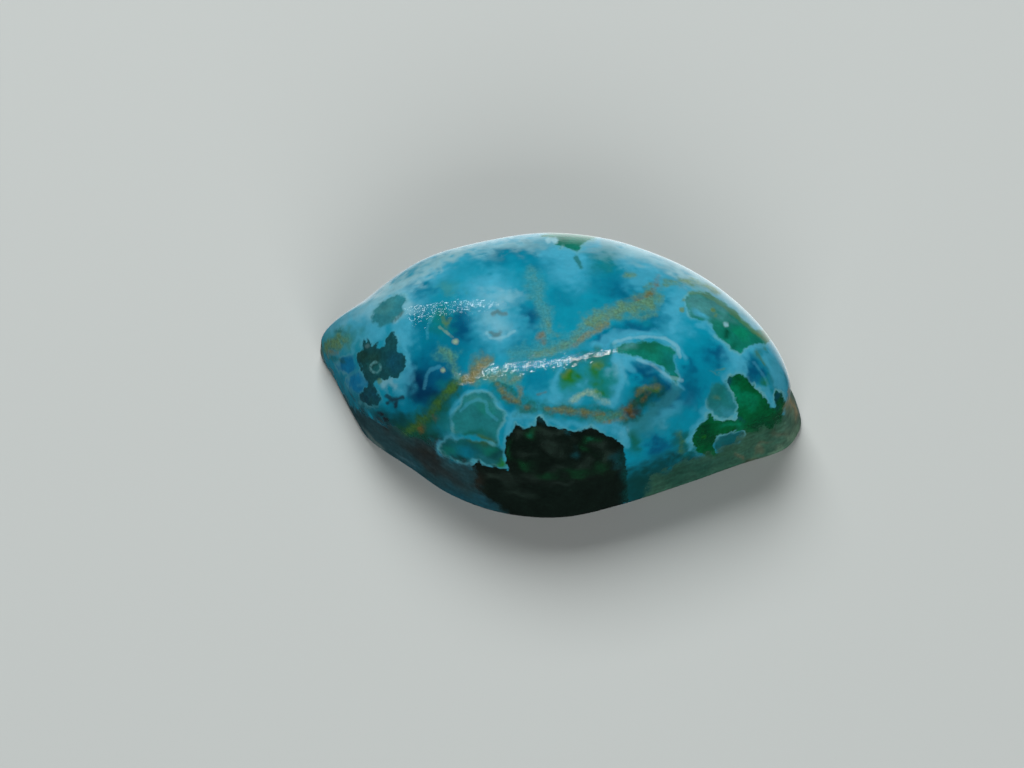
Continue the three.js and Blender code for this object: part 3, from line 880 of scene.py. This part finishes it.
def stone_mesh():
    """The stone as a closed mesh that carries its markings."""
    rings, over_girdle = stone_rings()
    grounds, layers, shares = markings(rings, over_girdle)
    middle = (rings.min(axis=(0, 1)) + rings.max(axis=(0, 1))) / 2
    shift = np.array([middle[0], middle[1], 0.0])
    count = len(rings) * ROUND
    under = count
    crown = count + 1
    points = np.vstack([rings.reshape(-1, 3), [(0, 0, 0)], [(*CROWN_AT, HEIGHT)]]) - shift
    faces = []
    step = np.arange(ROUND)
    following = (step + 1) % ROUND
    for ring in range(len(rings) - 1):
        low = ring * ROUND
        high = low + ROUND
        faces += np.c_[low + step, low + following, high + following, high + step].tolist()
    last = count - ROUND
    faces += np.c_[following, step, np.full(ROUND, under)].tolist()
    faces += np.c_[last + step, last + following, np.full(ROUND, crown)].tolist()

    mesh = bpy.data.meshes.new("chrysocolla_cabochon")
    mesh.from_pydata((points * MM).tolist(), [], faces)
    mesh.shade_smooth()

    colours = dict(grounds)
    for name, (depth, colour) in layers.items():
        colours[f"{name}_colour"] = colour
        shares[name] = depth
    for name, colour in colours.items():
        rgba = np.c_[with_poles(colour), np.ones(count + 2)]
        mesh.attributes.new(name, "FLOAT_COLOR", "POINT").data.foreach_set("color", rgba.ravel())
    for name, share in shares.items():
        mesh.attributes.new(name, "FLOAT", "POINT").data.foreach_set("value", with_poles(share))
    return mesh


# Nodes
def add_node(tree, kind, sockets=None, **settings):
    """Adds a node with its settings, and fills its sockets with values or links."""
    node = tree.nodes.new(kind)
    for name, value in settings.items():
        setattr(node, name, value)
    for socket, value in (sockets or {}).items():
        if isinstance(value, bpy.types.NodeSocket):
            tree.links.new(value, node.inputs[socket])
        else:
            node.inputs[socket].default_value = value
    return node


# Marks of working, cut into the mesh
RELIEF_INPUTS = {
    "Chip Depth": CHIP_DEPTH,
    "Chip Size": CHIP_SIZE,
    "Fibre Depth": FIBRE_DEPTH,
    "Fibre Pitch": FIBRE_PITCH,
    "Saw Depth": SAW_DEPTH,
    "Saw Pitch": SAW_PITCH,
    "Seed": float(SEED),
}


def relief_tree(material):
    """Geometry nodes that cut shell-shaped chips into the heel, fibres into the tip's wall and saw marks
    into the back, with sizes in millimetres."""
    tree = bpy.data.node_groups.new("ground_face_relief", "GeometryNodeTree")
    tree.interface.new_socket("Stone", in_out="INPUT", socket_type="NodeSocketGeometry")
    for name in RELIEF_INPUTS:
        tree.interface.new_socket(name, in_out="INPUT", socket_type="NodeSocketFloat")
    tree.interface.new_socket("Stone", in_out="OUTPUT", socket_type="NodeSocketGeometry")
    given = tree.nodes.new("NodeGroupInput").outputs
    position = add_node(tree, "GeometryNodeInputPosition").outputs[0]
    normal = add_node(tree, "GeometryNodeInputNormal").outputs[0]
    mm = add_node(tree, "ShaderNodeVectorMath", {0: position, "Scale": 1 / MM}, operation="SCALE").outputs[0]

    chip_scale = add_node(tree, "ShaderNodeMath", {
        0: 1.0, 1: given["Chip Size"]}, operation="DIVIDE").outputs[0]
    shells = add_node(tree, "ShaderNodeTexVoronoi", {
        "Vector": mm, "W": given["Seed"], "Scale": chip_scale}, voronoi_dimensions="4D")
    hollow = add_node(tree, "ShaderNodeMapRange", {
        "Value": shells.outputs["Distance"], "From Max": SHELL_EDGE, "To Min": 1.0, "To Max": 0.0},
        interpolation_type="SMOOTHSTEP").outputs[0]
    chips = add_node(tree, "ShaderNodeMath", {
        0: hollow, 1: given["Chip Depth"]}, operation="MULTIPLY").outputs[0]

    along = add_node(tree, "ShaderNodeVectorMath", {
        0: mm, 1: FIBRE_STRETCH}, operation="MULTIPLY").outputs[0]
    fibre_scale = add_node(tree, "ShaderNodeMath", {
        0: 1.0, 1: given["Fibre Pitch"]}, operation="DIVIDE").outputs[0]
    strands = add_node(tree, "ShaderNodeTexNoise", {
        "Vector": along, "W": given["Seed"], "Scale": fibre_scale, "Detail": 2.0},
        noise_dimensions="4D").outputs[0]
    swell = add_node(tree, "ShaderNodeMath", {0: strands, 1: 0.5}, operation="SUBTRACT").outputs[0]
    fibres = add_node(tree, "ShaderNodeMath", {
        0: swell, 1: given["Fibre Depth"]}, operation="MULTIPLY").outputs[0]

    across = add_node(tree, "ShaderNodeSeparateXYZ", {0: mm}).outputs["X"]
    turns = add_node(tree, "ShaderNodeMath", {
        0: across, 1: given["Saw Pitch"]}, operation="DIVIDE").outputs[0]
    swing = add_node(tree, "ShaderNodeMath", {0: turns, 1: 1.0}, operation="PINGPONG").outputs[0]
    saw_marks = add_node(tree, "ShaderNodeMath", {
        0: swing, 1: given["Saw Depth"]}, operation="MULTIPLY").outputs[0]

    depth = 0.0
    for name, cut in {"chipped": chips, "fibred": fibres, "sawn": saw_marks}.items():
        share = add_node(tree, "GeometryNodeInputNamedAttribute", {
            "Name": name}, data_type="FLOAT").outputs[0]
        depth = add_node(tree, "ShaderNodeMath", {
            0: share, 1: cut, 2: depth}, operation="MULTIPLY_ADD").outputs[0]
    inward = add_node(tree, "ShaderNodeMath", {0: depth, 1: -MM}, operation="MULTIPLY").outputs[0]
    offset = add_node(tree, "ShaderNodeVectorMath", {
        0: normal, "Scale": inward}, operation="SCALE").outputs[0]
    cut_stone = add_node(tree, "GeometryNodeSetPosition", {
        "Geometry": given["Stone"], "Offset": offset}).outputs[0]
    real = add_node(tree, "GeometryNodeRealizeInstances", {"Geometry": cut_stone}).outputs[0]
    finished = add_node(tree, "GeometryNodeSetMaterial", {"Geometry": real, "Material": material}).outputs[0]
    add_node(tree, "NodeGroupOutput", {"Stone": finished})
    return tree


def cut_relief(stone, material):
    """Runs the relief on a stone and keeps the result as its plain mesh."""
    modifier = stone.modifiers.new("ground_face_relief", "NODES")
    tree = relief_tree(material)
    modifier.node_group = tree
    for socket in tree.interface.items_tree:
        if socket.in_out == "INPUT" and socket.name in RELIEF_INPUTS:
            modifier[socket.identifier] = RELIEF_INPUTS[socket.name]
    bpy.context.view_layer.update()
    evaluated = stone.evaluated_get(bpy.context.evaluated_depsgraph_get())
    mesh = bpy.data.meshes.new_from_object(evaluated)
    stone.modifiers.remove(modifier)
    stone.data = mesh


# Materials
def mottle(tree, colour, grain, strength):
    """Lightens and darkens a colour with a grain."""
    value = add_node(tree, "ShaderNodeMapRange", {
        "Value": grain, "From Min": NOISE_SPAN[0], "From Max": NOISE_SPAN[1],
        "To Min": 1 - strength, "To Max": 1 + strength})
    return add_node(tree, "ShaderNodeHueSaturation", {"Color": colour, "Value": value.outputs[0]}).outputs[0]


def lay_over(tree, below, above, depth, outer, inner, strength):
    """Lays one colour over another where a depth in millimetres passes from outer to inner."""
    cover = add_node(tree, "ShaderNodeMapRange", {
        "Value": depth, "From Min": outer, "From Max": inner, "To Max": strength},
        interpolation_type="SMOOTHSTEP").outputs[0]
    mixed = add_node(tree, "ShaderNodeMix", {0: cover, 6: below, 7: above}, data_type="RGBA")
    return mixed.outputs[2], cover


def crinkled_depth(tree, layer, ripple, reach):
    """A layer's depth with its edge crinkled by a ripple, which reaches so many millimetres each way."""
    flat = add_node(tree, "ShaderNodeAttribute", attribute_name=layer).outputs["Fac"]
    sway = add_node(tree, "ShaderNodeMapRange", {
        "Value": ripple, "From Min": NOISE_SPAN[0], "From Max": NOISE_SPAN[1],
        "To Min": -reach, "To Max": reach}, clamp=False)
    return add_node(tree, "ShaderNodeMath", {0: flat, 1: sway.outputs[0]}, operation="ADD").outputs[0]


# Each layer of marks, from the lowest, with lengths in millimetres. Its edge crinkles by a ripple, and its
# cover starts outside the edge and is full inside it. Mottle, grain and cloud are how far the sandy, grainy
# and cloudy grains lighten and darken it. Rim and halo are the strengths of a pale rim round it and of a
# wider halo round that. Broken is the share of cover lost in gaps, and dull is what it adds to the roughness.
# The wall has no cover of its own: the frosted share of the mesh gives it.
LAYERS = {
    "band": {"ripple": "dusty", "crinkle": 0.14, "outside": 0.30, "inside": 0.10, "cover": 0.70,
             "mottle": 0.06},
    "growth": {"ripple": "dusty", "crinkle": 0.22, "outside": 0.16, "inside": 0.16, "cover": 0.98,
               "mottle": 0.10, "cloud": 0.22, "rim width": 0.08, "rim": 0.70,
               "halo width": 0.5, "halo": 0.20},
    "seam": {"ripple": "dusty", "crinkle": 0.40, "outside": 0.40, "inside": 0.35, "cover": 0.90,
             "mottle": 0.12, "grain": 0.22, "broken": 0.4},
    "island": {"ripple": "scallop", "crinkle": 0.12, "outside": 0.09, "inside": 0.09, "cover": 1.0,
               "mottle": 0.12, "cloud": 0.22, "rim width": 0.09, "rim": 0.65,
               "halo width": 0.5, "halo": 0.35},
    "vein": {"ripple": "dusty", "crinkle": 0.20, "outside": 0.20, "inside": 0.20, "cover": 0.66,
             "mottle": 0.12, "grain": 0.30, "broken": 0.4, "dull": 0.30},
    "pool": {"ripple": "scallop", "crinkle": 0.14, "outside": 0.06, "inside": 0.06, "cover": 1.0,
             "mottle": 0.25, "cloud": 0.25, "rim width": 0.10, "rim": 0.85,
             "halo width": 0.6, "halo": 0.30},
    "thread": {"ripple": "scallop", "crinkle": 0.06, "outside": 0.10, "inside": 0.05, "cover": 0.38,
               "mottle": 0.04},
    "spot": {"ripple": "scallop", "crinkle": 0.07, "outside": 0.09, "inside": 0.09, "cover": 0.75,
             "mottle": 0.12},
    "wall": {"ripple": "dusty", "crinkle": 0.30, "outside": 0.30, "inside": 0.20,
             "mottle": 0.28, "dull": 0.60},
}


def polished_chrysocolla():
    """Chrysocolla with malachite, domed on a wheel and polished: the blue and green masses show sharp and
    deep under a glassy gloss with fine polishing pits, and the ground wall and sawn back stay dull."""
    material = bpy.data.materials.new("polished_chrysocolla")
    material.use_nodes = True
    tree = material.node_tree
    shader = tree.nodes["Principled BSDF"]
    place = add_node(tree, "ShaderNodeTexCoord").outputs["Object"]
    mm = add_node(tree, "ShaderNodeVectorMath", {0: place, "Scale": 1 / MM}, operation="SCALE").outputs[0]
    along = add_node(tree, "ShaderNodeVectorMath", {
        0: mm, 1: WALL_FIBRE_STRETCH}, operation="MULTIPLY").outputs[0]
    fibres = add_node(tree, "ShaderNodeTexNoise", {
        "Vector": along, "Scale": 1 / WALL_FIBRE, "Detail": 3.0}).outputs[0]
    grains = {}
    for name, (size, detail) in GRAINS.items():
        grains[name] = add_node(tree, "ShaderNodeTexNoise", {
            "Vector": mm, "Scale": 1 / size, "Detail": detail}).outputs[0]

    # The blue ground, seen at two depths
    near = add_node(tree, "ShaderNodeAttribute", attribute_name="ground_colour").outputs["Color"]
    beneath = add_node(tree, "ShaderNodeAttribute", attribute_name="ground_colour_beneath").outputs["Color"]
    clear = add_node(tree, "ShaderNodeMapRange", {
        "Value": grains["dusty"], "From Min": CLEAR_SPAN[0], "From Max": CLEAR_SPAN[1]}).outputs[0]
    colour = add_node(tree, "ShaderNodeMix", {0: clear, 6: near, 7: beneath}, data_type="RGBA").outputs[2]
    for grain, strength in GROUND_MOTTLE.items():
        colour = mottle(tree, colour, grains[grain], strength)

    # The layers of marks, with pale rims that come and go
    pale = (*linear(PIGMENT["pale blue"]), 1.0)
    rim_colour = (*linear(PIGMENT["rim"]), 1.0)
    rim_share = add_node(tree, "ShaderNodeAttribute", attribute_name="rim").outputs["Fac"]
    comes_and_goes = add_node(tree, "ShaderNodeMapRange", {
        "Value": grains["patchy"], "From Min": RIM_SPAN[0], "From Max": RIM_SPAN[1],
        "To Min": FAINT_RIM}).outputs[0]
    rim_share = add_node(tree, "ShaderNodeMath", {
        0: rim_share, 1: comes_and_goes}, operation="MULTIPLY").outputs[0]
    frosted = add_node(tree, "ShaderNodeAttribute", attribute_name="frosted").outputs["Fac"]
    dull = POLISH_ROUGHNESS
    for layer, look in LAYERS.items():
        depth = crinkled_depth(tree, layer, grains[look["ripple"]], look["crinkle"])
        if "rim" in look:
            halo = add_node(tree, "ShaderNodeMath", {
                0: rim_share, 1: look["halo"]}, operation="MULTIPLY").outputs[0]
            colour, _ = lay_over(tree, colour, pale, depth, -look["halo width"], 0.0, halo)
            rim = add_node(tree, "ShaderNodeMath", {
                0: rim_share, 1: look["rim"]}, operation="MULTIPLY").outputs[0]
            rim_outer, rim_inner = (fade - look["rim width"] for fade in RIM_FADE)
            colour, _ = lay_over(tree, colour, rim_colour, depth, rim_outer, rim_inner, rim)
        marks = add_node(tree, "ShaderNodeAttribute", attribute_name=f"{layer}_colour").outputs["Color"]
        marks = mottle(tree, marks, grains["sandy"], look["mottle"])
        if "grain" in look:
            marks = mottle(tree, marks, grains["grainy"], look["grain"])
        if "cloud" in look:
            marks = mottle(tree, marks, grains["cloudy"], look["cloud"])
        if layer == "wall":
            marks = mottle(tree, marks, fibres, look["mottle"])
        cover = frosted if layer == "wall" else look["cover"]
        if "broken" in look:
            cover = add_node(tree, "ShaderNodeMapRange", {
                "Value": grains["scallop"], "From Min": GAP_SPAN[0], "From Max": GAP_SPAN[1],
                "To Min": look["cover"] * (1 - look["broken"]), "To Max": look["cover"]}).outputs[0]
        colour, covered = lay_over(tree, colour, marks, depth, -look["outside"], look["inside"], cover)
        if "dull" in look:
            dull = add_node(tree, "ShaderNodeMath", {
                0: covered, 1: look["dull"], 2: dull}, operation="MULTIPLY_ADD").outputs[0]
    tree.links.new(colour, shader.inputs["Base Color"])
    tree.links.new(dull, shader.inputs["Roughness"])
    shader.inputs["IOR"].default_value = STONE_IOR

    # Pits in the polish
    pits = add_node(tree, "ShaderNodeTexNoise", {
        "Vector": mm, "Scale": 1 / PIT_SIZE, "Detail": 1.0}).outputs[0]
    pitted = add_node(tree, "ShaderNodeAttribute", attribute_name="pitted").outputs["Fac"]
    pit_strength = add_node(tree, "ShaderNodeMapRange", {
        "Value": pitted, "To Min": PIT_STRENGTH[0], "To Max": PIT_STRENGTH[1]}).outputs[0]
    bump = add_node(tree, "ShaderNodeBump", {
        "Height": pits, "Strength": pit_strength, "Distance": PIT_DEPTH * MM})
    tree.links.new(bump.outputs[0], shader.inputs["Normal"])
    return material


def matt_paper():
    """Matt white paper, lit softly: an even pale grey with no gloss."""
    material = bpy.data.materials.new("matt_paper")
    material.use_nodes = True
    shader = material.node_tree.nodes["Principled BSDF"]
    shader.inputs["Base Color"].default_value = (*linear(PAPER_COLOUR), 1.0)
    shader.inputs["Roughness"].default_value = 0.9
    shader.inputs["Specular IOR Level"].default_value = 0.1
    return material


# The stage
def lay_floor():
    """A wide paper floor, four metres each way."""
    half = FLOOR_HALF * MM
    corners = [(-half, -half, 0), (half, -half, 0), (half, half, 0), (-half, half, 0)]
    mesh = bpy.data.meshes.new("floor")
    mesh.from_pydata(corners, [], [(0, 1, 2, 3)])
    mesh.materials.append(matt_paper())
    floor = bpy.data.objects.new("floor", mesh)
    floor.visible_glossy = False
    bpy.context.collection.objects.link(floor)


def hang_light(name, place, aim, size, watts, mirrored):
    """A rectangular softbox at a place in millimetres, turned to its aim, that the gloss mirrors or not."""
    light = bpy.data.lights.new(name, "AREA")
    light.shape = "RECTANGLE"
    light.size = size[0] * MM
    light.size_y = size[1] * MM
    light.energy = watts
    lamp = bpy.data.objects.new(name, light)
    lamp.location = Vector(place) * MM
    lamp.rotation_euler = (Vector(aim) - Vector(place)).to_track_quat("-Z", "Y").to_euler()
    lamp.visible_glossy = mirrored
    bpy.context.collection.objects.link(lamp)
    return lamp


def light_stage():
    """Soft light from behind and in front, two thin strips that draw the streaks of gloss on the dome, and
    the studio round them."""
    hang_light("soft_key", place=(-60, 350, 380), aim=(0, 0, 0), size=(300, 300), watts=3.0, mirrored=False)
    hang_light("front_fill", place=(40, -430, 200), aim=(0, 0, 0), size=(400, 200), watts=1.6, mirrored=False)
    front_strip = hang_light(
        "front_strip", place=(-88, 17, 300), aim=(-88, 17, 0), size=(284, 2.5), watts=0.11, mirrored=True)
    front_strip.rotation_euler = (0, 0, FRONT_STRIP_TURN)
    front_strip.visible_diffuse = False
    back_strip = hang_light(
        "back_strip", place=(-230, 215, 300), aim=(-230, 215, 0), size=(330, 4), watts=0.09, mirrored=True)
    back_strip.visible_diffuse = False

    # A dark studio with a pale glow behind the stone, which shows in the stone's far edge
    world = bpy.data.worlds.new("studio")
    world.use_nodes = True
    tree = world.node_tree
    direction = add_node(tree, "ShaderNodeTexCoord").outputs["Generated"]
    behind = add_node(tree, "ShaderNodeVectorMath", {
        0: direction, 1: BACK_GLOW}, operation="DOT_PRODUCT").outputs["Value"]
    glow = add_node(tree, "ShaderNodeMapRange", {
        "Value": behind, "From Min": GLOW_SPREAD[0], "From Max": GLOW_SPREAD[1],
        "To Min": GLOW_STRENGTH[0], "To Max": GLOW_STRENGTH[1]})
    background = tree.nodes["Background"]
    background.inputs["Color"].default_value = (*linear(STUDIO_COLOUR), 1.0)
    tree.links.new(glow.outputs[0], background.inputs["Strength"])
    bpy.context.scene.world = world


def place_camera():
    """A camera where the photograph was taken from."""
    camera_data = bpy.data.cameras.new("camera")
    camera_data.sensor_width = SENSOR_WIDTH
    camera_data.lens = SENSOR_WIDTH * VIEW_DISTANCE * PIXELS_PER_MM / PHOTO_WIDTH
    camera_data.clip_start = 0.01
    camera = bpy.data.objects.new("camera", camera_data)
    camera.location = Vector(AIM + TO_VIEWER * VIEW_DISTANCE) * MM
    camera.rotation_euler = Vector(-TO_VIEWER).to_track_quat("-Z", "Y").to_euler()
    bpy.context.collection.objects.link(camera)
    bpy.context.scene.camera = camera


def make_stone():
    """The finished stone, which stands for the CAD's plain one."""
    material = polished_chrysocolla()
    stone = bpy.data.objects.new("chrysocolla_cabochon", stone_mesh())
    bpy.context.collection.objects.link(stone)
    cut_relief(stone, material)
    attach(stone, "root")
    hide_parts("chrysocolla_stone")


place_camera()
lay_floor()
light_stage()
make_stone()
bpy.context.scene.view_settings.view_transform = "Standard"
